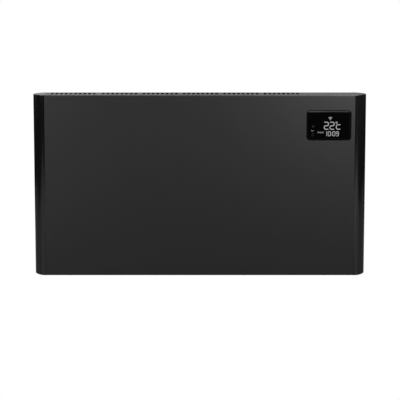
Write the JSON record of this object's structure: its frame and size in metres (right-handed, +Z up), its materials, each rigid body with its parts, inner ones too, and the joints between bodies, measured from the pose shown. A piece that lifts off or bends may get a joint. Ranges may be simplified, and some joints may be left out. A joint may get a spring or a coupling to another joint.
{
  "type": "panel convector heater",
  "caption": "Slim wall-hung panel convector heater with a slotted steel casing, moulded end caps, a front display window and a hook-on wall bracket.",
  "frame": {"origin": "centre of the wall bracket's four screw holes, on the wall plane", "axes": "+X to the right seen from the room, +Y into the wall, so the front faces -Y, and +Z up"},
  "size_m": [0.709, 0.0985, 0.3935],
  "materials": {
    "casing_steel": "fine-textured charcoal powder coat",
    "panel_steel": "matte charcoal powder coat",
    "cap_moulding": "polished black moulding",
    "galvanised_steel": "galvanised sheet",
    "heat_shield": "bright rolled sheet",
    "element_body": "die-cast, slightly oxidised",
    "element_sheath": "heat-tinted steel",
    "ceramic": "unglazed steatite",
    "brass": "bright brass",
    "cutout_can": "pressed can",
    "sensor_body": "epoxy bead",
    "clip_plastic": "moulded nylon",
    "bezel_moulding": "polished black moulding",
    "display_lens": "black-printed polished lens",
    "foil": "polyimide film",
    "display_module": "moulded light box",
    "circuit_board": "solder-masked laminate",
    "carrier_plastic": "moulded, fine texture",
    "shield_can": "tinned steel can",
    "relay_case": "moulded case",
    "transformer": "wound core with tape",
    "capacitor": "sleeved can",
    "terminal_plastic": "moulded block",
    "heatsink": "extruded fins",
    "fuse": "clear tube in clips",
    "ribbon": "flat cable sheath",
    "switch_plastic": "moulded housing",
    "rocker_plastic": "satin rocker",
    "gland_plastic": "moulded nylon",
    "element_lead": "silicone sleeve",
    "cutout_lead": "silicone sleeve",
    "switch_lead": "silicone sleeve",
    "earth_lead": "green and yellow sleeve",
    "sensor_lead": "thin sleeve",
    "screws": "zinc-plated",
    "bracket_steel": "galvanised sheet"
  },
  "bodies": {
    "bracket": {"bracket_rail_left": "bracket_steel", "bracket_rail_right": "bracket_steel", "bracket_crossbar_upper": "bracket_steel", "bracket_crossbar_lower": "bracket_steel", "bracket_rivets": "screws"},
    "heater": {"front_cover": "casing_steel", "rear_panel": "panel_steel", "base_panel": "panel_steel", "left_end_plate": "galvanised_steel", "right_end_plate": "galvanised_steel", "left_end_cap": "cap_moulding", "right_end_cap": "cap_moulding", "front_heat_shield": "heat_shield", "rear_heat_shield": "heat_shield", "control_bay_divider": "galvanised_steel", "lower_element_fins": "element_body", "upper_element_fins": "element_body", "lower_element_rod": "element_sheath", "upper_element_rod": "element_sheath", "element_bushes": "ceramic", "element_terminals": "brass", "element_link": "brass", "element_bracket": "galvanised_steel", "thermal_cutout": "cutout_can", "room_sensor": "sensor_body", "sensor_clip": "clip_plastic", "display_bezel": "bezel_moulding", "display_lens": "display_lens", "touch_foil": "foil", "display_module": "display_module", "display_board": "circuit_board", "display_carrier": "carrier_plastic", "radio_module": "shield_can", "power_board": "circuit_board", "board_standoffs": "brass", "relays": "relay_case", "transformer": "transformer", "capacitors": "capacitor", "terminal_block": "terminal_plastic", "heatsink": "heatsink", "fuse": "fuse", "ribbon_cable": "ribbon", "switch_housing": "switch_plastic", "cord_gland": "gland_plastic", "gland_nut": "gland_plastic", "earth_stud": "brass", "element_leads": "element_lead", "cutout_leads": "cutout_lead", "switch_leads": "switch_lead", "earth_lead": "earth_lead", "sensor_lead": "sensor_lead", "casing_screws": "screws", "end_cap_screws": "screws", "board_screws": "screws", "carrier_screws": "screws", "element_screws": "screws"},
    "rocker": {"switch_rocker": "rocker_plastic"}
  },
  "joints": [
    {"name": "lift_off", "type": "slide", "parent": "bracket", "child": "heater", "axis": [0, 0, 1], "range_m": [0, 0.012]},
    {"name": "mains_rocker", "type": "hinge", "parent": "heater", "child": "rocker", "pos_m": [0.301, -0.058, -0.1876], "axis": [1, 0, 0], "range_deg": [0, 20]}
  ]
}
